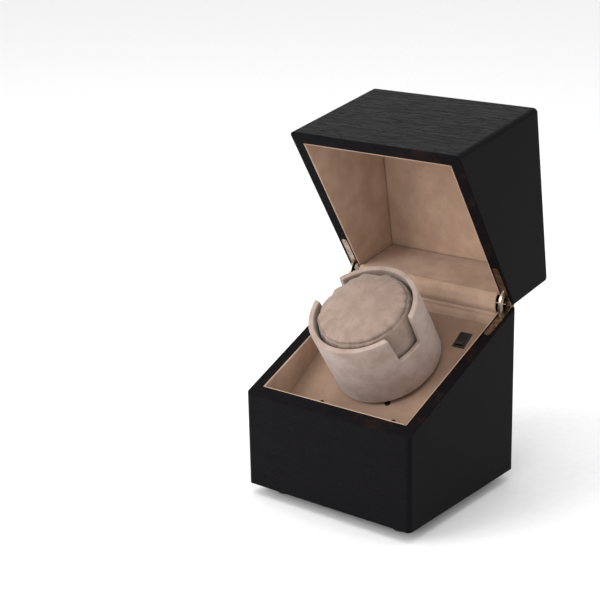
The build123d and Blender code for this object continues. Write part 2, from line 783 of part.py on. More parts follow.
rocker_outline += ThreePointArc((rocker_length / 2, 1.3), (0, 0.75), (-rocker_length / 2, 1.3))
rocker_outline += Line((-rocker_length / 2, 1.3), (-rocker_length / 2 + 0.3, -2.4))
rocker = extrude(Plane.YZ * make_face(rocker_outline), rocker_width)
rocker = Pos(-rocker_width / 2, 0, 0) * rocker
rocker -= switch_bore
rocker -= block(-9, 9, -9, 9, -9, -0.9) - disc(2.4, -9, 3)
rocker_pivot = Axis((0, 0, pivot_level), (1, 0, 0))
parts["switch_housing"] = switch_place * switch_housing
parts["switch_rocker"] = switch_place * rocker.rotate(rocker_pivot, -rocker_tilt)

# ---- Power inlet and control board -----------------------------------------------------------
inlet_place = Plane(
    origin=(inlet_x, half_depth, underside + inlet_height), x_dir=(1, 0, 0), z_dir=(0, 1, 0),
)
inlet = disc(7.0, 0, 1.8)
inlet = fillet(inlet.edges().sort_by(Axis.Z)[-1:], 0.6)
inlet += disc(5.5, -15, 0.1)
inlet -= disc(2.8, -10, 3)
inlet += disc(1.05, -11, -0.6)
parts["power_inlet"] = inlet_place * inlet
nut = disc(7.6, -12.2, -wall - 0.05, inner=5.5)
nut &= Pos(0, 0, -10) * extrude(RegularPolygon(8.0, 6), 8, both=True)
parts["inlet_nut"] = inlet_place * nut

pcb = block(
    pcb_x - pcb_width / 2, pcb_x + pcb_width / 2, pcb_y - pcb_depth / 2, pcb_y + pcb_depth / 2,
    pcb_z, pcb_z + pcb_thickness,
)
for x, y in pcb_holes:
    pcb -= Pos(x, y, pcb_z) * disc(1.05, -1, 3)
parts["control_board"] = pcb
pcb_top = pcb_z + pcb_thickness
lead_level = 3.0
small_screws = [face_plane * Location((u, v, 0)) * gearbox_screw for u, v in gearbox_spots]
chip = block(pcb_x - 6, pcb_x + 6, pcb_y - 4, pcb_y + 4, pcb_top, pcb_top + 2.2)
capacitor = Pos(pcb_x + 10, pcb_y - 13, 0) * disc(4.0, pcb_top, pcb_top + 11)
motor_plug = block(pcb_x + 11, pcb_x + 18, pcb_y - 1, pcb_y + 6, pcb_top, pcb_top + 6)
switch_plug = block(pcb_x + 11, pcb_x + 18, pcb_y + 9, pcb_y + 16, pcb_top, pcb_top + 6)
power_plug = block(inlet_x - 4, inlet_x + 4, pcb_y + 13, pcb_y + 20, pcb_top, pcb_top + 6)
parts["board_components"] = Compound(
    children=[chip, capacitor, motor_plug, switch_plug, power_plug]
)
board_screw = Pos(0, 0, pcb_top) * screw(1.0, pcb_lift + pcb_thickness + 4, 1.9, 1.2)
board_screw += disc(2.4, floor_top, pcb_z)

small_screws += [Pos(x, y, 0) * board_screw for x, y in pcb_holes]
parts["drive_screws"] = Compound(children=small_screws)


def lead(points):
    """A round lead through its points, with arcs as large as the runs allow."""
    vectors = [Vector(*p) for p in points]
    radii = []
    for before, here, after in zip(vectors, vectors[1:], vectors[2:]):
        turn = math.radians((here - before).get_angle(after - here))
        shorter = min((here - before).length, (after - here).length)
        radii.append(0.45 * shorter / math.tan(turn / 2))
    path = FilletPolyline(*points, radius=radii)
    start = Plane(origin=path @ 0, z_dir=path % 0)
    return sweep(start * Circle(lead_radius), path=path)


def under_face(u, v, w):
    """A point in the faceplate's frame, as a tuple in the case's."""
    return tuple(face_plane.from_local_coords(Vector(u, v, w)))


plug_z = pcb_top + lead_level
plug_face = pcb_x + 18
motor_end = motor_low - 1.5
parts["motor_lead"] = lead([
    under_face(0, -centre_distance, motor_end),
    under_face(0, -centre_distance, motor_end - 5),
    (-6.0, pcb_y + 2.5, plug_z + 1.5),
    (plug_face + 5, pcb_y + 2.5, plug_z),
    (plug_face, pcb_y + 2.5, plug_z),
])
parts["switch_lead"] = lead([
    under_face(switch_u, switch_v, -17.0),
    under_face(switch_u, switch_v, -28.0),
    (33.0, 45.0, 62.0),
    (17.0, 44.5, 40.0),
    (0.0, pcb_y + 13.5, plug_z + 4),
    (plug_face + 6, pcb_y + 12.5, plug_z),
    (plug_face, pcb_y + 12.5, plug_z),
])
inlet_end = half_depth - 15
inlet_level = underside + inlet_height
run_middle = (inlet_end + pcb_y + 20) / 2
power_lead = Rot(90, 0, 0) * Cylinder(lead_radius, inlet_end - pcb_y - 20)
parts["power_lead"] = Pos(inlet_x, run_middle, inlet_level) * power_lead

# ---- Write every piece -----------------------------------------------------------------------
os.makedirs("parts", exist_ok=True)
for name, shape in parts.items():
    export_step(shape, f"parts/{name}.step")
print(len(parts), "nodes")
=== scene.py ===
"""Looks of the watch winder box: leatherette case, suede linings, cup, cushion, hinges and drive.

Everything is in metres, in the part's own frame: the table is at z = 0, +Y points at the hinged
back and the lid stands open. CAD nodes keep their shape and get a finish; the soft pieces are
built here and stand for their plain CAD solids.
"""

import json
import logging
import math
from dataclasses import dataclass, field
from enum import Enum
from typing import Optional, Sequence

import bmesh
import bpy
import numpy as np
from mathutils import Matrix, Vector, noise


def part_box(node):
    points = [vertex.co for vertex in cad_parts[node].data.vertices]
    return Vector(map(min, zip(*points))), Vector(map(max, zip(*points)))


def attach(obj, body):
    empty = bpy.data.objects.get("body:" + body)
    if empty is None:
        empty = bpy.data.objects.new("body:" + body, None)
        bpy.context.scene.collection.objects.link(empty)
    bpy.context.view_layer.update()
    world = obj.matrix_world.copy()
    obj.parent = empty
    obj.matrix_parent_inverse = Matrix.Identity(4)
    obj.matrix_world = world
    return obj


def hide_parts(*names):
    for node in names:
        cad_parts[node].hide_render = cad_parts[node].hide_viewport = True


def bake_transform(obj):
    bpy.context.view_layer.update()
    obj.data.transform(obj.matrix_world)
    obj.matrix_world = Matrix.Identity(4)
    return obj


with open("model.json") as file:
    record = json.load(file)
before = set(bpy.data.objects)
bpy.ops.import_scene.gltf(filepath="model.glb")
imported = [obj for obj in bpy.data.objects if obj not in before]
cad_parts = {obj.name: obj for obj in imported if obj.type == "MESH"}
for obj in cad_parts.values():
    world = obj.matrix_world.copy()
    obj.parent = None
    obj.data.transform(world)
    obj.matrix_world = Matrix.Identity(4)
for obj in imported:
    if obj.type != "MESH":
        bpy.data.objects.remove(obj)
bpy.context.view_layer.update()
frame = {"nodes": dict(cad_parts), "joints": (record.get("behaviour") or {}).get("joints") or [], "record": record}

LOG = logging.getLogger("winder")
MM = 0.001
Colour = tuple[float, float, float]


# ---- Places shared by the pieces ---------------------------------------------------------------
def joint(name: str) -> dict:
    """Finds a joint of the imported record.

    Args:
        name: the joint's name.

    Returns:
        The joint's own entry.
    """
    return next(j for j in frame["joints"] if j["name"] == name)


def cad_points(node: str) -> np.ndarray:
    """Reads a CAD node's corner points.

    Args:
        node: the node's name.

    Returns:
        Its distinct points, one a row, in metres.
    """
    points = np.array([v.co for v in frame["nodes"][node].data.vertices], float)
    return np.unique(points.round(6), axis=0)


@dataclass(frozen=True)
class Hinge:
    """The lid's hinge axis, and the turn between the shut and the open lid."""

    pos: Vector = field(default_factory=lambda: Vector(joint("lid_hinge")["pos_m"]))
    open_turn: float = -math.radians(joint("lid_hinge")["range_deg"][1])

    def to_shut(self, point: Vector) -> Vector:
        """Turns a point of the open lid to where it is with the lid shut."""
        return Matrix.Rotation(-self.open_turn, 3, "X") @ (point - self.pos) + self.pos


@dataclass(frozen=True)
class Rim:
    """The slanted cut between the case and its lid, in the shut pose."""

    through: Vector
    normal: Vector
    lift: float = 0.4 * MM

    @classmethod
    def of_case(cls) -> "Rim":
        """Measures the cut on the base's cover.

        Returns:
            The plane, a little above the cover's highest and lowest edges.
        """
        points = cad_points("base_leather")
        low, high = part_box("base_leather")
        back = points[points[:, 1] > high.y - 0.1 * MM][:, 2].max()
        front = points[points[:, 1] < low.y + 0.1 * MM][:, 2].max()
        slope = math.atan2(back - front, high.y - low.y)
        normal = Vector((0, -math.sin(slope), math.cos(slope)))
        return cls(Vector((0, 0, (back + front) / 2)) + normal * cls.lift, normal)

    def height(self, point: Vector) -> float:
        """How far a point stands above the cut."""
        return (point - self.through).dot(self.normal)


@dataclass(frozen=True)
class RotorFrame:
    """The rotor's own frame: w up its shaft from the faceplate, and the notches along u."""

    turn: float = math.radians(-15.2)

    @property
    def origin(self) -> Vector:
        """Where the shaft's axis meets the faceplate."""
        return Vector(joint("rotor_spin")["pos_m"])

    @property
    def axes(self) -> Matrix:
        """The frame's axes as the columns of a matrix."""
        w = Vector(joint("rotor_spin")["axis"]).normalized()
        u = Vector((1, 0, 0))
        v = w.cross(u)
        turned = Matrix((u, v, w)).transposed()
        return turned @ Matrix.Rotation(self.turn, 3, "Z")

    def world(self, points: np.ndarray) -> np.ndarray:
        """Places points of the rotor's frame in the part's frame.

        Args:
            points: one point a row, in metres.

        Returns:
            The same points in the part's frame.
        """
        return points @ np.array(self.axes, float).T + np.array(self.origin, float)


# ---- Node graphs ---------------------------------------------------------------------------------
class Graph:
    """A short way to write a node tree."""

    def __init__(self, tree: bpy.types.NodeTree) -> None:
        """Starts on a tree, which is emptied."""
        self.tree = tree
        tree.nodes.clear()

    def add(self, kind: str, inputs: Optional[dict] = None, **settings: object) -> bpy.types.Node:
        """Adds a node.

        Args:
            kind: the node's type name.
            inputs: socket name or number to a value or to another node's output.
            settings: the node's own properties.

        Returns:
            The node.
        """
        node = self.tree.nodes.new(kind)
        for name, value in settings.items():
            setattr(node, name, value)
        for key, value in (inputs or {}).items():
            if isinstance(value, bpy.types.NodeSocket):
                self.tree.links.new(value, node.inputs[key])
            else:
                node.inputs[key].default_value = value
        return node

    def math(self, operation: str, *values: object, clamp: bool = False) -> bpy.types.NodeSocket:
        """A Math node's result."""
        inputs = dict(enumerate(values))
        node = self.add("ShaderNodeMath", inputs, operation=operation, use_clamp=clamp)
        return node.outputs[0]

    def noise(self, vector: bpy.types.NodeSocket, scale: float, detail: float = 2.0,
              rough: float = 0.5) -> bpy.types.NodeSocket:
        """A noise texture's height, from 0 to 1."""
        inputs = {"Vector": vector, "Scale": scale, "Detail": detail, "Roughness": rough}
        return self.add("ShaderNodeTexNoise", inputs).outputs[0]

    def ramp(self, value: bpy.types.NodeSocket, low: float, high: float, start: float = 0.0,
             end: float = 1.0) -> bpy.types.NodeSocket:
        """A smooth step of a value, from start at low to end at high."""
        inputs = {"Value": value, "From Min": low, "From Max": high, "To Min": start, "To Max": end}
        return self.add("ShaderNodeMapRange", inputs, interpolation_type="SMOOTHSTEP").outputs[0]

    def mix(self, share: object, a: object, b: object) -> bpy.types.NodeSocket:
        """A colour between a and b."""
        node = self.add("ShaderNodeMix", data_type="RGBA")
        for socket, value in ((node.inputs[0], share), (node.inputs[6], a), (node.inputs[7], b)):
            if isinstance(value, bpy.types.NodeSocket):
                self.tree.links.new(value, socket)
            elif isinstance(value, tuple):
                socket.default_value = (*value, 1.0)
            else:
                socket.default_value = value
        return node.outputs[2]

    def scaled(self, vector: bpy.types.NodeSocket, scale: Colour, turn: float = 0.0,
               move: Sequence[float] = (0, 0, 0)) -> bpy.types.NodeSocket:
        """A vector scaled, then turned about X, then moved."""
        inputs = {"Vector": vector, "Scale": scale, "Rotation": (turn, 0, 0), "Location": move}
        return self.add("ShaderNodeMapping", inputs, vector_type="POINT").outputs[0]


class Coat(Enum):
    """How a finish's clear layer shines."""

    NONE = 0.0
    THIN = 0.05


@dataclass(frozen=True)
class Finish:
    """A procedural material on Object coordinates."""

    name: str

    def material(self) -> bpy.types.Material:
        """Builds the material once.

        Returns:
            The material of this finish's name.
        """
        found = bpy.data.materials.get(self.name)
        if found:
            return found
        made = bpy.data.materials.new(self.name)
        made.use_nodes = True
        graph = Graph(made.node_tree)
        output = graph.add("ShaderNodeOutputMaterial")
        shader = graph.add("ShaderNodeBsdfPrincipled")
        made.node_tree.links.new(shader.outputs[0], output.inputs[0])
        where = graph.add("ShaderNodeTexCoord").outputs["Object"]
        self.paint(graph, shader, where)
        return made

    def paint(self, graph: Graph, shader: bpy.types.Node, where: bpy.types.NodeSocket) -> None:
        """Joins colour, roughness and relief to the shader."""
        raise NotImplementedError

    def relief(self, graph: Graph, shader: bpy.types.Node, height: bpy.types.NodeSocket,
               depth: float, strength: float) -> None:
        """Joins a height to the shader's normal.

        Args:
            graph: the material's graph.
            shader: the shader it belongs to.
            height: the height, from 0 to 1.
            depth: how deep 1 is, in metres.
            strength: how much of it shows.
        """
        inputs = {"Height": height, "Distance": depth, "Strength": strength}
        bump = graph.add("ShaderNodeBump", inputs)
        graph.tree.links.new(bump.outputs[0], shader.inputs["Normal"])


@dataclass(frozen=True)
class Leather(Finish):
    """Dark leatherette with long shallow creases, darkened with painted shade, and mitred corners along its rim.
    """

    rim: Rim
    turn: float = 0.0
    move: tuple[float, float, float] = (0.0, 0.0, 0.0)
    flat: Colour = (0.0036, 0.0030, 0.0038)
    # painted shade: the darker colour laid into the wrinkle lines
    painted_crease_shade: Colour = (0.0014, 0.0011, 0.0015)
    worn: Colour = (0.0105, 0.0050, 0.0040)
    corner: float = 4.3 * MM
    rim_band: tuple[float, float] = (0.7 * MM, 1.4 * MM)
    seam_band: tuple[float, float] = (0.05 * MM, 0.35 * MM)
    wear_from: tuple[float, float] = (-15 * MM, 30 * MM)
    line_scale: tuple[float, float, float] = (70, 430, 430)
    fold_scale: tuple[float, float, float] = (48, 300, 300)
    grain_scale: float = 2400.0
    depth: float = 0.34 * MM
    shine: float = 0.05

    def paint(self, graph: Graph, shader: bpy.types.Node, where: bpy.types.NodeSocket) -> None:
        """Joins the grain, painted shade in its wrinkles, the worn rim and the corner seams."""
        shut = graph.scaled(where, (1, 1, 1), self.turn, self.move)
        mark, swell = self.wrinkles(graph, shut)
        pebble = graph.noise(shut, self.grain_scale, 3.0, 0.6)
        height = graph.math("MULTIPLY_ADD", mark, -0.7, graph.math("MULTIPLY", pebble, 0.14))
        height = graph.math("MULTIPLY_ADD", swell, 1.5, height)

        split = graph.add("ShaderNodeSeparateXYZ", {0: shut}).outputs
        above = graph.add("ShaderNodeVectorMath", {0: shut, 1: tuple(self.rim.through)},
                          operation="SUBTRACT")
        above = graph.add("ShaderNodeVectorMath", {0: above.outputs[0], 1: tuple(self.rim.normal)},
                          operation="DOT_PRODUCT").outputs["Value"]
        away = graph.math("ABSOLUTE", above)
        on_rim = graph.ramp(away, *self.rim_band, 1.0, 0.0)
        skew = graph.math("SUBTRACT", graph.math("ABSOLUTE", split[0]),
                          graph.math("ABSOLUTE", split[1]))
        skew = graph.math("ABSOLUTE", graph.math("SUBTRACT", skew, self.corner))
        seam = graph.math("MULTIPLY", graph.ramp(skew, *self.seam_band, 1.0, 0.0), on_rim)
        height = graph.math("SUBTRACT", height, graph.math("MULTIPLY", seam, 1.6))

        rubbed = graph.ramp(graph.noise(shut, 95.0, 4.0, 0.6), 0.5, 0.62)
        right = graph.ramp(split[0], *self.wear_from, 0.1, 1.0)
        wear = graph.math("MULTIPLY", on_rim, graph.math("MULTIPLY", rubbed, right))
        # painted shade: the wrinkle lines are darkened in the base colour, faintly on the left and right faces
        colour = graph.mix(graph.math("MULTIPLY", mark, 0.4), self.flat, self.painted_crease_shade)
        colour = graph.mix(wear, colour, self.worn)
        graph.tree.links.new(colour, shader.inputs["Base Color"])
        gloss = graph.math("MULTIPLY_ADD", on_rim, 0.25, graph.ramp(height, -0.2, 1.2, 0.6, 0.42))
        graph.tree.links.new(gloss, shader.inputs["Roughness"])
        shader.inputs["Specular IOR Level"].default_value = self.shine
        self.relief(graph, shader, height, self.depth, 0.8)

    def wrinkles(self, graph: Graph,
                 shut: bpy.types.NodeSocket) -> tuple[bpy.types.NodeSocket, bpy.types.NodeSocket]:
        """Draws wavy wrinkles and folds along the box, faint on its left and right sides.

        Args:
            graph: the material's graph.
            shut: the place in the shut box.

        Returns:
            How deep a place lies in a wrinkle, and how high on a fold, both from 0 to 1.
        """
        warp = graph.add("ShaderNodeTexNoise", {"Vector": shut, "Scale": 90.0, "Detail": 1.0})
        swing = graph.add("ShaderNodeVectorMath", {0: warp.outputs[1], 1: (0.006,) * 3},
                          operation="MULTIPLY")
        bent = graph.add("ShaderNodeVectorMath", {0: shut, 1: swing.outputs[0]}).outputs[0]
        waves = graph.noise(graph.scaled(bent, self.line_scale), 1.0, 1.0, 0.4)
        line = graph.math("ABSOLUTE", graph.math("SUBTRACT", waves, 0.5))
        line = graph.ramp(line, 0.0, 0.05, 1.0, 0.0)
        broken = graph.ramp(graph.noise(shut, 80.0, 1.0), 0.34, 0.56, 0.35, 1.0)
        normal = graph.add("ShaderNodeNewGeometry").outputs["True Normal"]
        facing = graph.add("ShaderNodeSeparateXYZ", {0: normal}).outputs[0]
        side = graph.ramp(graph.math("ABSOLUTE", facing), 0.4, 0.8, 1.0, 0.12)
        folds = graph.noise(graph.scaled(bent, self.fold_scale), 1.0, 1.0, 0.4)
        mark = graph.math("MULTIPLY", line, graph.math("MULTIPLY", broken, side))
        return mark, graph.math("MULTIPLY", folds, side)


@dataclass(frozen=True)
class Suede(Finish):
    """Soft napped cloth: brushed patches, a fine fibre relief and a sheen."""

    light: Colour = (0.49, 0.340, 0.248)
    dark: Colour = (0.40, 0.268, 0.190)
    patch_scale: float = 48.0
    nap: float = 0.14 * MM
    sheen: float = 0.25
    brush_scale: tuple[float, float, float] = (900, 1500, 500)
    fibre_scale: float = 5200.0

    def paint(self, graph: Graph, shader: bpy.types.Node, where: bpy.types.NodeSocket) -> None:
        """Joins the patches and the nap."""
        patch = graph.ramp(graph.noise(where, self.patch_scale, 4.0, 0.6), 0.34, 0.68)
        brush = graph.noise(graph.scaled(where, self.brush_scale), 1.0, 3.0, 0.6)
        fibre = graph.noise(where, self.fibre_scale, 2.0, 0.7)
        share = graph.math("MULTIPLY_ADD", graph.math("SUBTRACT", brush, 0.5), 0.55, patch,
                           clamp=True)
        share = graph.math("MULTIPLY_ADD", graph.math("SUBTRACT", fibre, 0.5), 0.5, share,
                           clamp=True)
        graph.tree.links.new(graph.mix(share, self.dark, self.light), shader.inputs["Base Color"])
        shader.inputs["Roughness"].default_value = 0.95
        shader.inputs["Specular IOR Level"].default_value = 0.15
        shader.inputs["Sheen Weight"].default_value = self.sheen
        shader.inputs["Sheen Roughness"].default_value = 0.45
        height = graph.math("MULTIPLY_ADD", brush, 0.9, fibre)
        self.relief(graph, shader, height, self.nap, 0.7)


@dataclass(frozen=True)
class Metal(Finish):
    """Plated or ground metal with fine rub marks."""

    colour: Colour = (0.35, 0.27, 0.20)
    shade: Colour = (0.22, 0.165, 0.12)
    rough: float = 0.28
    grain: tuple[float, float, float] = (300.0, 300.0, 2400.0)
    scratch: float = 0.02 * MM

    def paint(self, graph: Graph, shader: bpy.types.Node, where: bpy.types.NodeSocket) -> None:
        """Joins the tarnish and the rub marks."""
        marks = graph.noise(graph.scaled(where, self.grain), 1.0, 4.0, 0.65)
        tarnish = graph.ramp(graph.noise(where, 260.0, 3.0), 0.35, 0.7)
        graph.tree.links.new(graph.mix(tarnish, self.colour, self.shade),
                             shader.inputs["Base Color"])
        shader.inputs["Metallic"].default_value = 1.0
        rough = graph.ramp(marks, 0.3, 0.75, self.rough * 0.75, self.rough * 1.5)
        graph.tree.links.new(rough, shader.inputs["Roughness"])
        self.relief(graph, shader, marks, self.scratch, 0.35)


@dataclass(frozen=True)
class Moulded(Finish):
    """Moulded plastic, rubber or nylon with an eroded mould texture."""

    colour: Colour = (0.016, 0.016, 0.017)
    shade: Colour = (0.010, 0.010, 0.011)
    rough: float = 0.45
    texture: float = 1700.0
    depth: float = 0.04 * MM
    shine: float = 0.5
    coat: Coat = Coat.NONE

    def paint(self, graph: Graph, shader: bpy.types.Node, where: bpy.types.NodeSocket) -> None:
        """Joins the mould texture and slow drifts of shade."""
        pits = graph.noise(where, self.texture, 3.0, 0.6)
        drift = graph.ramp(graph.noise(where, 140.0, 2.0), 0.35, 0.7)
        share = graph.math("MULTIPLY_ADD", graph.math("SUBTRACT", pits, 0.5), 0.5, drift,
                           clamp=True)
        graph.tree.links.new(graph.mix(share, self.colour, self.shade),
                             shader.inputs["Base Color"])
        rough = graph.ramp(pits, 0.3, 0.7, self.rough * 0.85, min(1.0, self.rough * 1.2))
        graph.tree.links.new(rough, shader.inputs["Roughness"])
        shader.inputs["Specular IOR Level"].default_value = self.shine
        shader.inputs["Coat Weight"].default_value = self.coat.value
        self.relief(graph, shader, pits, self.depth, 0.5)


@dataclass(frozen=True)
class Fibreboard(Finish):
    """Raw fibreboard: pressed short fibres and darker flecks."""

    colour: Colour = (0.36, 0.25, 0.15)
    fleck: Colour = (0.20, 0.13, 0.075)
    fibre_scale: tuple[float, float, float] = (1800, 700, 1800)
    depth: float = 0.08 * MM

    def paint(self, graph: Graph, shader: bpy.types.Node, where: bpy.types.NodeSocket) -> None:
        """Joins the flecks and the fibres."""
        fibres = graph.noise(graph.scaled(where, self.fibre_scale), 1.0, 4.0, 0.7)
        share = graph.ramp(fibres, 0.45, 0.75)
        graph.tree.links.new(graph.mix(share, self.colour, self.fleck),
                             shader.inputs["Base Color"])
        shader.inputs["Roughness"].default_value = 0.85
        self.relief(graph, shader, fibres, self.depth, 0.5)


@dataclass(frozen=True)
class SolderMask(Finish):
    """A circuit board's green mask over raised copper tracks."""

    mask: Colour = (0.012, 0.085, 0.035)
    track: Colour = (0.03, 0.16, 0.07)
    pitch: float = 2.54 * MM
    copper: float = 0.04 * MM

    def paint(self, graph: Graph, shader: bpy.types.Node, where: bpy.types.NodeSocket) -> None:
        """Joins the tracks."""
        scale = 1 / (self.pitch * 2)
        tracks = graph.add(
            "ShaderNodeTexBrick",
            {"Vector": where, "Scale": scale, "Mortar Size": 0.06, "Mortar Smooth": 0.2},
        ).outputs[1]
        graph.tree.links.new(graph.mix(tracks, self.mask, self.track),
                             shader.inputs["Base Color"])
        shader.inputs["Roughness"].default_value = 0.3
        self.relief(graph, shader, tracks, self.copper, 0.6)


class Palette:
    """Every finish of the box, by record slot."""

    def __init__(self, rim: Rim, hinge: Hinge) -> None:
        """Mixes the finishes.

        Args:
            rim: the slanted cut, where the cover is worn and mitred.
            hinge: the hinge, which turns the lid's pattern with the lid.
        """
        back = Matrix.Rotation(-hinge.open_turn, 3, "X")
        move = tuple(hinge.pos - back @ hinge.pos)
        self.base_leather = Leather("leather_base", rim=rim)
        self.lid_leather = Leather("leather_lid", rim=rim, turn=-hinge.open_turn, move=move)
        self.suede = Suede("suede_lining")
        self.cup = Suede("suede_cup", light=(0.385, 0.295, 0.250), dark=(0.305, 0.225, 0.186),
                         patch_scale=75.0, nap=0.18 * MM, sheen=0.3)
        self.cushion = Suede("suede_cushion", light=(0.300, 0.222, 0.180),
                             dark=(0.240, 0.174, 0.138), patch_scale=90.0, nap=0.18 * MM,
                             sheen=0.3)
        self.plate = Suede("suede_plate", light=(0.340, 0.224, 0.162), dark=(0.275, 0.178, 0.125))
        self.brass = Metal("brass_plate")
        steel = Metal("ground_steel", (0.62, 0.62, 0.64), (0.48, 0.48, 0.50), 0.32)
        self.slots: dict[str, Finish] = {
            "leather": self.base_leather,
            "suede": self.suede,
            "cup_suede": self.cup,
            "cushion_suede": self.cushion,
            "felt": Suede("black_felt", light=(0.020, 0.020, 0.021), dark=(0.010, 0.010, 0.011),
                          nap=0.2 * MM, sheen=0.1),
            "board": Fibreboard("raw_fibreboard"),
            "hinge_brass": self.brass,
            "brass_screw": Metal("brass_screws", (0.42, 0.33, 0.25), (0.26, 0.20, 0.15), 0.28),
            "black_screw": Metal("black_oxide", (0.035, 0.033, 0.032), (0.02, 0.02, 0.02), 0.4),
            "zinc_screw": steel,
            "foot_rubber": Moulded("foot_rubber", rough=0.75, texture=1100.0, depth=0.08 * MM),
            "cup_plastic": Moulded("cup_plastic", rough=0.5),
            "chassis_plastic": Moulded("chassis_plastic", rough=0.5, texture=900.0),
            "gear_nylon": Moulded("natural_nylon", (0.72, 0.69, 0.60), (0.64, 0.61, 0.52), 0.42),
            "shaft_steel": steel,
            "bush_bronze": Metal("sintered_bronze", (0.55, 0.36, 0.2), (0.38, 0.24, 0.13), 0.5),
            "gearbox_plastic": Moulded("gearbox_plastic", (0.03, 0.03, 0.03), rough=0.4),
            "motor_can": Metal("motor_can", (0.66, 0.66, 0.66), (0.52, 0.52, 0.53), 0.3),
            "switch_black": Moulded("switch_black", (0.007, 0.007, 0.008), (0.005, 0.005, 0.005),
                                    rough=0.45, shine=0.2),
            "rocker_black": Moulded("rocker_black", (0.008, 0.008, 0.009), (0.006, 0.006, 0.006),
                                    0.3, 2600.0, 0.015 * MM, shine=0.25, coat=Coat.THIN),
            "inlet_black": Moulded("inlet_black", rough=0.4),
            "inlet_metal": steel,
            "board_green": SolderMask("solder_mask"),
            "component_black": Moulded("component_black", rough=0.5, texture=2600.0),
            "lead_black": Moulded("lead_sleeve", rough=0.55, texture=900.0),
        }

    def dress_cad(self) -> None:
        """Gives every CAD node the finish of its record slot."""
        slots = {s["node"]: s["material_slot"] for s in frame["record"]["subparts"]}
        own = {"lid_leather": self.lid_leather, "faceplate_suede": self.plate}
        for name, node in frame["nodes"].items():
            finish = own.get(name, self.slots[slots[name]])
            node.data.materials.clear()
            node.data.materials.append(finish.material())


# ---- Mesh tools ----------------------------------------------------------------------------------
def mesh_piece(name: str, points: np.ndarray, faces: Sequence[Sequence[int]],
               finish: Finish) -> bpy.types.Object:
    """Makes a smooth shaded piece.

    Args:
        name: the piece's name.
        points: one point a row, in the part's frame, in metres.
        faces: corner numbers of each face, seen from outside.
        finish: its finish.

    Returns:
        The new object, at the origin.
    """
    mesh = bpy.data.meshes.new(name)
    mesh.from_pydata([tuple(p) for p in points], [], [list(f) for f in faces])
    mesh.validate()
    shape = bmesh.new()
    shape.from_mesh(mesh)
    bmesh.ops.recalc_face_normals(shape, faces=shape.faces[:])
    shape.to_mesh(mesh)
    shape.free()
    mesh.materials.append(finish.material())
    mesh.shade_smooth()
    piece = bpy.data.objects.new(name, mesh)
    bpy.context.scene.collection.objects.link(piece)
    return piece


def coordinates(piece: bpy.types.Object) -> np.ndarray:
    """A piece's points, one a row."""
    flat = np.empty(len(piece.data.vertices) * 3)
    piece.data.vertices.foreach_get("co", flat)
    return flat.reshape(-1, 3)


def set_coordinates(piece: bpy.types.Object, points: np.ndarray) -> None:
    """Moves a piece's points."""
    piece.data.vertices.foreach_set("co", points.ravel())
    piece.data.update()


def bake(piece: bpy.types.Object) -> None:
    """Applies a piece's modifiers, so that only a plain mesh is left."""
    evaluated = piece.evaluated_get(bpy.context.evaluated_depsgraph_get())
    made = bpy.data.meshes.new_from_object(evaluated)
    old = piece.data
    piece.modifiers.clear()
    piece.data = made
    bpy.data.meshes.remove(old)
    made.name = piece.name
    made.shade_smooth()


def soften(piece: bpy.types.Object, levels: int) -> None:
    """Applies a subdivision surface."""
    modifier = piece.modifiers.new("soften", "SUBSURF")
    modifier.levels = levels
    modifier.render_levels = levels
    bake(piece)


def wobble(point: Sequence[float], scale: float, seed: float) -> float:
    """Smooth noise from -1 to 1 at a point, with features of a given size in metres."""
    return noise.noise(Vector(point) / scale + Vector((seed, seed * 0.37, -seed)))


def graded(length: float, fine: float, coarse: float, reach: float) -> np.ndarray:
    """Steps along a length, close together near both ends.

    Args:
        length: the length to divide.
        fine: the step at the ends.
        coarse: the step in the middle.
        reach: how far the close steps go in from each end.

    Returns:
        The places from 0 to length.
    """
    ends = np.arange(0, reach, fine)
    count = max(2, round((length - 2 * reach) / coarse) + 1)
    middle = np.linspace(reach, length - reach, count)
    return np.concatenate([ends, middle, (length - ends)[::-1]])


def closed_grid(front: np.ndarray, back: np.ndarray) -> tuple[np.ndarray, list[list[int]]]:
    """Joins two grids of points of the same size into a closed pad.

    Args:
        front: rows by columns by 3, on the visible side, counter-clockwise seen from outside.
        back: the same on the hidden side.

    Returns:
        The points, and the faces of the front, the back and the edges.
    """
    rows, columns = front.shape[:2]
    points = np.concatenate([front.reshape(-1, 3), back.reshape(-1, 3)])
    shift = rows * columns
    faces = []
    for r in range(rows - 1):
        for c in range(columns - 1):
            a = r * columns + c
            quad = [a, a + 1, a + 1 + columns, a + columns]
            faces.append(quad)
            faces.append([i + shift for i in reversed(quad)])
    border = list(range(columns))
    border += [r * columns + columns - 1 for r in range(1, rows)]
    border += [(rows - 1) * columns + c for c in range(columns - 2, -1, -1)]
    border += [r * columns for r in range(rows - 2, 0, -1)]
    for a, b in zip(border, border[1:] + border[:1]):
        faces.append([b, a, a + shift, b + shift])
    return points, faces


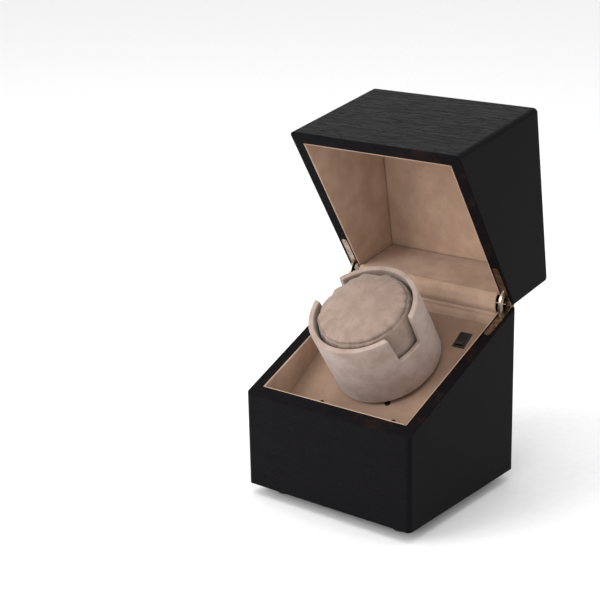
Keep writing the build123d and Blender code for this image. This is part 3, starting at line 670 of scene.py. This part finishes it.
# ---- Linings -------------------------------------------------------------------------------------
@dataclass
class LiningPanel:
    """A suede panel on thin foam: crowned in the middle and rolled in at its edges."""

    node: str
    inward: Vector
    body: str
    rim: Rim
    hinge: Hinge
    palette: Palette
    thickness: float = 0.85 * MM
    roll: float = 0.48 * MM
    roll_reach: float = 2.4 * MM
    rim_roll: float = 0.35 * MM
    rim_reach: float = 0.7 * MM
    crown: float = 0.45 * MM
    ripple: float = 0.16 * MM
    ripple_size: float = 16 * MM
    ripple_fade: float = 6 * MM
    step: float = 1.8 * MM
    fine_step: float = 0.4 * MM
    inset: float = 0.06 * MM
    least: float = 0.2 * MM

    def corners(self) -> list[Vector]:
        """Finds the four corners of the panel's visible face, counter-clockwise."""
        points = cad_points(self.node)
        height = points @ np.array(self.inward)
        face = points[height > height.max() - 0.05 * MM]
        across = self.inward.orthogonal().normalized()
        along = self.inward.cross(across)
        flat = face @ np.array([across, along]).T
        ways = flat - (flat.max(0) + flat.min(0)) / 2
        order = np.argsort(np.arctan2(ways[:, 1], ways[:, 0]))
        kept = []
        for here in range(len(order)):
            before, point, after = (flat[order[(here + k) % len(order)]] for k in (-1, 0, 1))
            run, turn = point - before, after - point
            cross = run[0] * turn[1] - run[1] * turn[0]
            if abs(cross) > 0.01 * np.linalg.norm(run) * np.linalg.norm(turn):
                kept.append(Vector(face[order[here]]))
        if len(kept) != 4:
            raise ValueError(f"{self.node} has {len(kept)} corners")
        return kept

    def rim_edges(self, corners: list[Vector]) -> list[bool]:
        """Says which of the four edges lie along the rim."""
        found = []
        for a, b in zip(corners, corners[1:] + corners[:1]):
            middle = (a + b) / 2
            shut = self.hinge.to_shut(middle) if self.body == "lid" else middle
            found.append(abs(self.rim.height(shut)) < 1.2 * MM)
        return found

    def build(self) -> bpy.types.Object:
        """Makes the panel in place of its CAD solid.

        Returns:
            The finished piece.
        """
        a, b, c, d = self.corners()
        free = self.rim_edges([a, b, c, d])
        wide = ((b - a).length + (c - d).length) / 2
        tall = ((d - a).length + (c - b).length) / 2
        across = graded(wide, self.fine_step, self.step, self.roll_reach) / wide
        along = graded(tall, self.fine_step, self.step, self.roll_reach) / tall
        front = np.zeros((len(along), len(across), 3))
        back = np.zeros_like(front)
        for r, t in enumerate(along):
            for k, s in enumerate(across):
                flat = a.lerp(b, s).lerp(d.lerp(c, s), t)
                edge = (t * tall, (1 - s) * wide, (1 - t) * tall, s * wide)
                sink = 0.0
                for distance, is_rim in zip(edge, free):
                    reach = self.rim_reach if is_rim else self.roll_reach
                    depth = self.rim_roll if is_rim else self.roll
                    share = 1 - min(1.0, distance / reach)
                    sink += depth * (1 - math.sqrt(1 - share * share))
                swell = self.crown * (math.sin(math.pi * s) * math.sin(math.pi * t)) ** 0.6
                fade = min(1.0, min(edge) / self.ripple_fade)
                swell += self.ripple * wobble(flat, self.ripple_size, 3.1) * fade
                sink = min(sink, self.thickness - self.least)
                front[r, k] = flat + self.inward * (swell - sink)
                back[r, k] = flat - self.inward * self.thickness
        middle = np.array((a + b + c + d) / 4)
        shrink = 1 - 2 * self.inset / min(wide, tall)
        front = middle + (front - middle) * shrink
        points, faces = closed_grid(front, back)
        piece = mesh_piece(f"{self.node}_suede", points, faces, self.palette.suede)
        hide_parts(self.node)
        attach(piece, self.body)
        return piece


@dataclass
class BackPad:
    """The padded suede lining of the base's back, swelling towards the faceplate."""

    palette: Palette
    node: str = "base_lining_back"
    folds: int = 2
    rows: int = 26
    ripple: float = 0.25 * MM
    ripple_size: float = 9 * MM
    ripple_fade: float = 4 * MM
    bulge: float = 0.25 * MM
    foot_gap: float = 0.3 * MM
    height_loss: float = 0.55 * MM
    set_back: float = 0.35 * MM
    side_tuck: float = 0.6 * MM
    side_reach: float = 1.6 * MM
    top_tuck: float = 0.55 * MM
    top_share: float = 0.1

    def build(self) -> bpy.types.Object:
        """Makes the pad inside its CAD solid's outline.

        Returns:
            The finished piece.
        """
        low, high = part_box(self.node)
        points = cad_points(self.node)
        tall = high.z - low.z
        steps = np.linspace(0, 1, self.rows)
        across = graded(high.x - low.x, 0.5 * MM, 1.6 * MM, 3 * MM)
        front = np.zeros((len(steps), len(across), 3))
        back = np.zeros_like(front)
        top_y = points[points[:, 2] > high.z - 1.2 * MM][:, 1].min()
        for r, t in enumerate(steps):
            z = low.z + self.foot_gap + (tall - self.height_loss) * t
            swell = (top_y - low.y) * (1 - t) ** 1.1
            for k, x in enumerate(across):
                place = (low.x + x, 0.0, z)
                end = min(x, high.x - low.x - x)
                puff = self.bulge * math.sin(math.pi * min(1, t * 1.4) * self.folds) ** 2
                fade = min(1, end / self.ripple_fade)
                puff += self.ripple * wobble(place, self.ripple_size, 5.7) * fade
                tuck = self.side_tuck * max(0.0, 1 - end / self.side_reach) ** 2
                past = (t - 1 + self.top_share) / self.top_share
                tuck += self.top_tuck * max(0.0, past) ** 2
                y = top_y - swell - puff * (1 - t) ** 0.5 + tuck + self.set_back
                front[r, k] = (low.x + x, y, z)
                back[r, k] = (low.x + x, high.y - 0.1 * MM, z)
        points, faces = closed_grid(front, back)
        piece = mesh_piece("base_lining_back_pad", points, faces, self.palette.suede)
        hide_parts(self.node)
        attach(piece, "base")
        return piece


@dataclass
class HingeStrip:
    """The loose suede strip that bridges the two back rims, shaped for the open lid; it does not fold with the
    lid.
    """

    palette: Palette
    hinge: Hinge
    node: str = "hinge_gusset"
    thickness: float = 0.5 * MM
    radius: float = 10.75 * MM
    flap: float = 2.6 * MM
    flap_steps: int = 6
    slack: float = 0.35 * MM
    ripple: float = 0.22 * MM
    ripple_size: float = 11 * MM
    arc: tuple[float, float] = (math.radians(-36.0), math.radians(47.5))
    arc_steps: int = 34
    columns: int = 90

    def profile(self) -> list[tuple[float, float]]:
        """The strip's line in the plane of the hinge: a flap, the arc and the other flap."""
        start, end = self.arc
        line = []
        for angle in np.linspace(start, end, self.arc_steps):
            share = (angle - start) / (end - start)
            sag = self.slack * math.sin(math.pi * share) ** 2 * math.sin(3 * math.pi * share)
            radius = self.radius + sag
            line.append((self.hinge.pos.y - radius * math.cos(angle),
                         self.hinge.pos.z + radius * math.sin(angle)))
        first, last = Vector(line[0]), Vector(line[-1])
        down = Vector((-0.16, -1.0)).normalized()
        turned = Matrix.Rotation(self.hinge.open_turn, 3, "X") @ Vector((0, 0, 1))
        up = Vector((turned.y, turned.z)).normalized()
        flaps = [self.flap * i / self.flap_steps for i in range(self.flap_steps, 0, -1)]
        before = [tuple(first + down * f) for f in flaps]
        after = [tuple(last + up * f) for f in reversed(flaps)]
        return before + line + after

    def build(self) -> bpy.types.Object:
        """Makes the strip and bends it between the base and the lid.

        Returns:
            The finished piece.
        """
        low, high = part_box(self.node)
        line = self.profile()
        across = np.linspace(low.x, high.x, self.columns)
        front = np.zeros((len(line), len(across), 3))
        back = np.zeros_like(front)
        for r, (y, z) in enumerate(line):
            before, after = line[max(0, r - 1)], line[min(len(line) - 1, r + 1)]
            run = Vector((after[0] - before[0], after[1] - before[1])).normalized()
            out = Vector((-run.y, run.x))
            for k, x in enumerate(across):
                drift = self.ripple * wobble((x, y, z), self.ripple_size, 8.3)
                front[r, k] = (x, y + out.x * drift, z + out.y * drift)
                back[r, k] = front[r, k] - np.array((0, *out)) * self.thickness
        points, faces = closed_grid(front, back)
        piece = mesh_piece("hinge_strip_suede", points, faces, self.palette.suede)
        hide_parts(self.node)
        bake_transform(piece)
        return piece


# ---- Cup and cushion -----------------------------------------------------------------------------
@dataclass
class CupCover:
    """The suede over the cup: a thick wall with two facing notches and soft rolled edges."""

    palette: Palette
    rotor: RotorFrame
    outer: float = 39.6 * MM
    inner: float = 36.0 * MM
    foot: float = 3.2 * MM
    rim: float = 58.0 * MM
    notch_floor: float = 34.6 * MM
    notch_low: float = 19.5 * MM
    notch_high: float = 22.9 * MM
    notch_columns: int = 10
    wall_columns: int = 46
    low_rows: int = 15
    high_rows: int = 11
    edge_round: float = 0.9 * MM
    flare: float = 0.6 * MM
    flare_reach: float = 0.16
    lean: float = 0.4 * MM
    ripple: float = 0.16 * MM
    ripple_size: float = 17 * MM

    def angle(self, column: int, height: float, radius: float) -> float:
        """Where a column of the wall stands at a height, as an angle about the shaft."""
        share = max(0.0, (height - self.notch_floor) / (self.rim - self.notch_floor))
        half_width = (self.notch_low + (self.notch_high - self.notch_low) * share) / 2
        edge = math.asin(half_width / radius)
        half = self.notch_columns + self.wall_columns
        side, step = divmod(column, half)
        if step <= self.notch_columns:
            part = -edge + 2 * edge * step / self.notch_columns
        else:
            part = edge + (math.pi - 2 * edge) * (step - self.notch_columns) / self.wall_columns
        return part + side * math.pi

    def build(self) -> bpy.types.Object:
        """Makes the cover as one closed, rounded wall.

        Returns:
            The finished piece.
        """
        half = self.notch_columns + self.wall_columns
        columns = 2 * half
        heights = list(np.linspace(self.foot, self.notch_floor, self.low_rows))
        heights += list(np.linspace(self.notch_floor, self.rim, self.high_rows))[1:]
        points = []
        for radius in (self.outer, self.inner):
            for height in heights:
                for column in range(columns):
                    turn = self.angle(column, height, radius)
                    place = (radius * math.cos(turn), radius * math.sin(turn), height)
                    push = self.push(place, turn, height)
                    if radius == self.inner:
                        push = min(push, 0.0)
                    scale = (radius + push) / radius
                    points.append((place[0] * scale, place[1] * scale, height))
        layer = len(heights) * columns

        def present(row: int, column: int) -> bool:
            """Says whether the wall has this cell."""
            if row < 0 or row >= len(heights) - 1:
                return False
            open_cell = column % columns % half < self.notch_columns
            return row < self.low_rows - 1 or not open_cell

        faces = []
        for row in range(len(heights) - 1):
            for column in range(columns):
                if not present(row, column):
                    continue
                after = (column + 1) % columns
                a, b = row * columns + column, row * columns + after
                c, d = b + columns, a + columns
                faces.append([a, b, c, d])
                faces.append([layer + d, layer + c, layer + b, layer + a])
                sides = ((row - 1, column, a, b), (row + 1, column, c, d),
                         (row, column + 1, b, c), (row, column - 1, d, a))
                for next_row, next_column, p, q in sides:
                    if not present(next_row, next_column % columns):
                        faces.append([q, p, layer + p, layer + q])
        world = self.rotor.world(np.array(points))
        piece = mesh_piece("cup_cover_suede", world, faces, self.palette.cup)
        loose = piece.modifiers.new("loose", "WELD")
        loose.merge_threshold = 0.001 * MM
        rounding = piece.modifiers.new("rounding", "BEVEL")
        rounding.width = self.edge_round
        rounding.segments = 4
        rounding.limit_method = "ANGLE"
        rounding.angle_limit = math.radians(50)
        rounding.use_clamp_overlap = True
        bake(piece)
        soften(piece, 1)
        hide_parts("cup_cover")
        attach(piece, "rotor")
        return piece

    def push(self, place: Sequence[float], turn: float, height: float) -> float:
        """How far the soft wall stands off its true radius at a place."""
        rise = max(0.0, (height - self.notch_floor) / (self.rim - self.notch_floor))
        from_notch = abs((turn + math.pi / 2) % math.pi - math.pi / 2)
        edge = math.asin(self.notch_high / 2 / self.outer)
        beside = math.exp(-((from_notch - edge) / self.flare_reach) ** 2)
        soft = self.ripple * wobble(place, self.ripple_size, 1.9)
        soft += self.lean * (height - self.foot) / (self.rim - self.foot)
        return soft + self.flare * beside * rise ** 2


@dataclass
class WatchCushion:
    """The suede pillow in the cup: blown up as cloth, then seamed and gathered."""

    palette: Palette
    rotor: RotorFrame
    outline: tuple[tuple[float, float], ...] = (
        (0.0, 9.0), (20.0, 9.0), (28.5, 9.6), (32.4, 11.4), (33.8, 15.5), (34.1, 24.0),
        (34.2, 34.0), (34.4, 44.0), (34.5, 50.0), (34.1, 54.5), (32.7, 57.9), (29.6, 60.0),
        (23.8, 61.6), (15.0, 62.7), (7.0, 63.2), (0.0, 63.3),
    )
    spokes: int = 48
    voxel: float = 4.5 * MM
    cap: float = 1.3 * MM
    pressure: float = 4.0
    frames: int = 20
    heart: tuple[float, float] = (21.0 * MM, 46.0 * MM)
    seam_turn: float = math.radians(46.5)
    seam_reach: float = 15.5 * MM
    widest: float = 35.3 * MM
    highest: float = 65.2 * MM
    seam_swing: float = 0.7 * MM
    gather_reach: float = 7 * MM
    puff: float = 0.3 * MM
    puff_at: float = 2.4 * MM
    puff_reach: float = 1.6 * MM
    groove: float = 0.8 * MM
    groove_reach: float = 0.7 * MM
    top_slack: float = 0.9 * MM
    side_slack: float = 0.35 * MM
    centre: float = 30 * MM
    ring: float = 0.0
    level: float = 0.0

    def form(self) -> bpy.types.Object:
        """Makes the cut pillow before it is filled."""
        points, faces = [], []
        rings = self.outline[1:-1]
        for radius, height in rings:
            for spoke in range(self.spokes):
                turn = 2 * math.pi * spoke / self.spokes
                points.append((radius * math.cos(turn), radius * math.sin(turn), height))
        for ring in range(len(rings) - 1):
            for spoke in range(self.spokes):
                a = ring * self.spokes + spoke
                b = ring * self.spokes + (spoke + 1) % self.spokes
                faces.append([a, b, b + self.spokes, a + self.spokes])
        last = (len(rings) - 1) * self.spokes
        for height, start, order in ((self.outline[0][1], 0, -1), (self.outline[-1][1], last, 1)):
            points.append((0.0, 0.0, height))
            for spoke in range(self.spokes):
                pair = [start + spoke, start + (spoke + 1) % self.spokes]
                faces.append([*pair[::order], len(points) - 1])
        return mesh_piece("watch_cushion_pillow", np.array(points) * MM, faces,
                          self.palette.cushion)

    def fill(self, piece: bpy.types.Object) -> None:
        """Blows the pillow up with cloth simulation, and caps how far it moves."""
        remesh = piece.modifiers.new("weave", "REMESH")
        remesh.mode = "VOXEL"
        remesh.voxel_size = self.voxel
        bake(piece)
        start = coordinates(piece)
        cloth = piece.modifiers.new("filling", "CLOTH")
        cloth.settings.use_pressure = True
        cloth.settings.uniform_pressure_force = self.pressure
        cloth.settings.effector_weights.gravity = 0.0
        scene = bpy.context.scene
        for step in range(1, self.frames + 1):
            scene.frame_set(step)
        bake(piece)
        scene.frame_set(1)
        moved = coordinates(piece) - start
        size = np.linalg.norm(moved, axis=1, keepdims=True)
        limit = np.minimum(1.0, self.cap / np.maximum(size, 1e-9))
        set_coordinates(piece, start + moved * limit)

    def along(self, points: np.ndarray) -> np.ndarray:
        """How far each point lies past the seam, over the pillow's shoulder, in metres."""
        radius = np.hypot(points[:, 0], points[:, 1])
        lift = np.arctan2(points[:, 2] - self.heart[1], radius - self.heart[0])
        return (lift - self.seam_turn) * self.seam_reach

    def sew(self, points: np.ndarray) -> np.ndarray:
        """Presses in the seam and raises the gathers on both sides of it.

        Args:
            points: the pillow's points in the rotor's frame.

        Returns:
            The points with their folds.
        """
        turn = np.arctan2(points[:, 1], points[:, 0])
        past = self.along(points)
        made = points.copy()
        for i, point in enumerate(points):
            spot = (math.cos(turn[i]), math.sin(turn[i]))
            swing = self.seam_swing * noise.noise(Vector((spot[0] * 3, spot[1] * 3, 9.0)))
            near = abs(past[i] - swing)
            folds = noise.noise(Vector((spot[0] * 6, spot[1] * 6, near / (18 * MM))))
            pleat = 0.3 - abs(noise.noise(Vector((spot[0] * 13, spot[1] * 13, near / (9 * MM)))))
            gather = (1.5 * folds - 2.6 * max(0.0, pleat) ** 1.5) * MM
            gather *= math.exp(-near / self.gather_reach)
            puff = self.puff * math.exp(-((near - self.puff_at) / self.puff_reach) ** 2)
            groove = -self.groove * math.exp(-(near / self.groove_reach) ** 2)
            if past[i] > swing:
                slack = self.top_slack * wobble(point, 15 * MM, 2.3)
            else:
                slack = self.side_slack * wobble(point, 12 * MM, 4.1)
            push = gather + puff + groove + slack
            out = Vector((point[0], point[1], max(0.0, point[2] - self.centre) * 1.1))
            out = out.normalized() if out.length > 1e-6 else Vector((0, 0, 1))
            made[i] = point + np.array(out) * push
        wide = np.hypot(made[:, 0], made[:, 1])
        pull = np.minimum(1.0, self.widest / np.maximum(wide, 1e-9))
        made[:, 0] *= pull
        made[:, 1] *= pull
        made[:, 2] = np.minimum(made[:, 2], self.highest)
        return made

    def build(self) -> bpy.types.Object:
        """Makes the pillow in the cup.

        Returns:
            The finished piece.
        """
        piece = self.form()
        self.fill(piece)
        soften(piece, 3)
        points = coordinates(piece)
        seam = points[np.abs(self.along(points)) < 0.25 * MM]
        self.ring = float(np.hypot(seam[:, 0], seam[:, 1]).mean())
        self.level = float(seam[:, 2].mean())
        set_coordinates(piece, self.rotor.world(self.sew(points)))
        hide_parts("watch_cushion")
        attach(piece, "cushion")
        return piece


@dataclass
class SeamStitches:
    """Thread stitches round the cushion's seam, set on their ring by Geometry Nodes."""

    cushion: WatchCushion
    count: int = 92
    length: float = 1.5 * MM
    thread: float = 0.22 * MM

    def tree(self) -> bpy.types.NodeTree:
        """Builds the tree that lays stitches along a circle.

        Returns:
            The tree, with its sizes as named inputs.
        """
        made = bpy.data.node_groups.new("SeamStitches", "GeometryNodeTree")
        face = made.interface
        face.new_socket("Geometry", in_out="INPUT", socket_type="NodeSocketGeometry")
        face.new_socket("Geometry", in_out="OUTPUT", socket_type="NodeSocketGeometry")
        for name in ("Ring radius", "Stitch length", "Thread radius"):
            face.new_socket(name, in_out="INPUT", socket_type="NodeSocketFloat")
        face.new_socket("Count", in_out="INPUT", socket_type="NodeSocketInt")
        graph = Graph(made)
        given = graph.add("NodeGroupInput").outputs
        circle = graph.add("GeometryNodeCurvePrimitiveCircle",
                           {"Resolution": 180, "Radius": given["Ring radius"]})
        spots = graph.add("GeometryNodeCurveToPoints",
                          {"Curve": circle.outputs[0], "Count": given["Count"]}, mode="COUNT")
        stitch = graph.add("GeometryNodeMeshUVSphere",
                           {"Segments": 8, "Rings": 6, "Radius": given["Thread radius"]})
        stretch = graph.math("DIVIDE", given["Stitch length"],
                             graph.math("MULTIPLY", given["Thread radius"], 2.0))
        scale = graph.add("ShaderNodeCombineXYZ", {0: 1.0, 1: 1.0, 2: stretch}).outputs[0]
        laid = graph.add("GeometryNodeInstanceOnPoints", {
            "Points": spots.outputs["Points"], "Instance": stitch.outputs["Mesh"],
            "Rotation": spots.outputs["Rotation"], "Scale": scale,
        })
        real = graph.add("GeometryNodeRealizeInstances", {0: laid.outputs[0]})
        dressed = graph.add("GeometryNodeSetMaterial", {0: real.outputs[0]})
        dressed.inputs["Material"].default_value = self.cushion.palette.cushion.material()
        graph.add("NodeGroupOutput", {0: dressed.outputs[0]})
        return made

    def build(self) -> bpy.types.Object:
        """Makes the stitches as one mesh.

        Returns:
            The finished piece.
        """
        seed = mesh_piece("watch_cushion_stitches", np.zeros((3, 3)), [[0, 1, 2]],
                          self.cushion.palette.cushion)
        modifier = seed.modifiers.new("stitches", "NODES")
        modifier.node_group = self.tree()
        sizes = {"Ring radius": self.cushion.ring, "Stitch length": self.length,
                 "Thread radius": self.thread, "Count": self.count}
        for item in modifier.node_group.interface.items_tree:
            if item.name in sizes:
                modifier[item.identifier] = sizes[item.name]
        bake(seed)
        points = coordinates(seed)
        points[:, 2] += self.cushion.level
        set_coordinates(seed, self.cushion.rotor.world(self.cushion.sew(points)))
        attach(seed, "cushion")
        return seed


# ---- Studio --------------------------------------------------------------------------------------
@dataclass
class Studio:
    """Camera, soft lamps and a pale floor."""

    azimuth: float = 38.99
    elevation: float = 18.21
    roll: float = -1.32
    distance: float = 1.1417
    target: tuple[float, float, float] = (-0.0722, 0.0, 0.1278)
    lens: float = 94.4
    sensor: float = 36.0
    floor_size: float = 6.0

    def camera(self) -> None:
        """Sets the camera at the object's own viewing angle."""
        data = bpy.data.cameras.new("camera")
        data.lens = self.lens
        data.sensor_width = self.sensor
        data.clip_start = 0.05
        data.clip_end = 30.0
        turn, lift = math.radians(self.azimuth), math.radians(self.elevation)
        back = Vector((math.sin(turn) * math.cos(lift), -math.cos(turn) * math.cos(lift),
                       math.sin(lift)))
        camera = bpy.data.objects.new("camera", data)
        bpy.context.scene.collection.objects.link(camera)
        tilt = Matrix.Rotation(math.radians(self.roll), 4, "Z")
        facing = (-back).to_track_quat("-Z", "Y").to_matrix().to_4x4()
        place = Matrix.Translation(Vector(self.target) + back * self.distance)
        camera.matrix_world = place @ facing @ tilt
        bpy.context.scene.camera = camera

    def lamp(self, name: str, place: Sequence[float], aim: Sequence[float], size: float,
             power: float) -> None:
        """Hangs a square soft lamp.

        Args:
            name: the lamp's name.
            place: where it hangs.
            aim: the point it faces.
            size: its side.
            power: its power in watts.
        """
        data = bpy.data.lights.new(name, "AREA")
        data.shape = "SQUARE"
        data.size = size
        data.energy = power
        lamp = bpy.data.objects.new(name, data)
        lamp.location = place
        lamp.rotation_euler = (Vector(aim) - Vector(place)).to_track_quat("-Z", "Y").to_euler()
        bpy.context.scene.collection.objects.link(lamp)

    def build(self) -> None:
        """Sets up the whole studio."""
        self.camera()
        self.lamp("top_lamp", (-0.1, -0.2, 1.5), (0, 0, 0.1), 1.3, 9.0)
        self.lamp("front_lamp", (-0.9, -1.5, 0.9), (0, 0, 0.12), 1.0, 21.0)
        self.lamp("right_lamp", (1.6, -0.5, 0.7), (0, 0, 0.12), 1.0, 0.6)
        world = bpy.data.worlds.new("studio")
        world.use_nodes = True
        world.node_tree.nodes["Background"].inputs[0].default_value = (1, 1, 1, 1)
        world.node_tree.nodes["Background"].inputs[1].default_value = 1.0
        bpy.context.scene.world = world
        bpy.context.scene.view_settings.view_transform = "Standard"
        half = self.floor_size / 2
        corners = np.array([(-half, -half, 0), (half, -half, 0), (half, half, 0),
                            (-half, half, 0)])
        paper = Moulded("floor_paper", (0.86, 0.86, 0.86), (0.84, 0.84, 0.84), 0.8, 300.0)
        mesh_piece("floor", corners, [[0, 1, 2, 3]], paper)


def report(piece: bpy.types.Object) -> None:
    """Logs a finished piece and its size."""
    LOG.info("%s: %d faces", piece.name, len(piece.data.polygons))


def main() -> None:
    """Builds the box's looks in order and logs each piece."""
    logging.basicConfig(level=logging.INFO, format="%(message)s")
    Studio().build()
    rim, hinge, rotor = Rim.of_case(), Hinge(), RotorFrame()
    palette = Palette(rim, hinge)
    palette.dress_cad()
    inward = {"left": Vector((1, 0, 0)), "right": Vector((-1, 0, 0)), "front": Vector((0, 1, 0)),
              "back": Vector((0, -1, 0)), "top": Vector((0, 0, -1))}
    open_turn = Matrix.Rotation(hinge.open_turn, 3, "X")
    for side in ("left", "right", "front"):
        panel = LiningPanel(f"base_lining_{side}", inward[side], "base", rim, hinge, palette)
        report(panel.build())
    for side, way in inward.items():
        panel = LiningPanel(f"lid_lining_{side}", open_turn @ way, "lid", rim, hinge, palette)
        report(panel.build())
    report(BackPad(palette).build())
    report(HingeStrip(palette, hinge).build())
    report(CupCover(palette, rotor).build())
    cushion = WatchCushion(palette, rotor)
    report(cushion.build())
    report(SeamStitches(cushion).build())
    LOG.info("built")


if __name__ == "__main__":
    main()
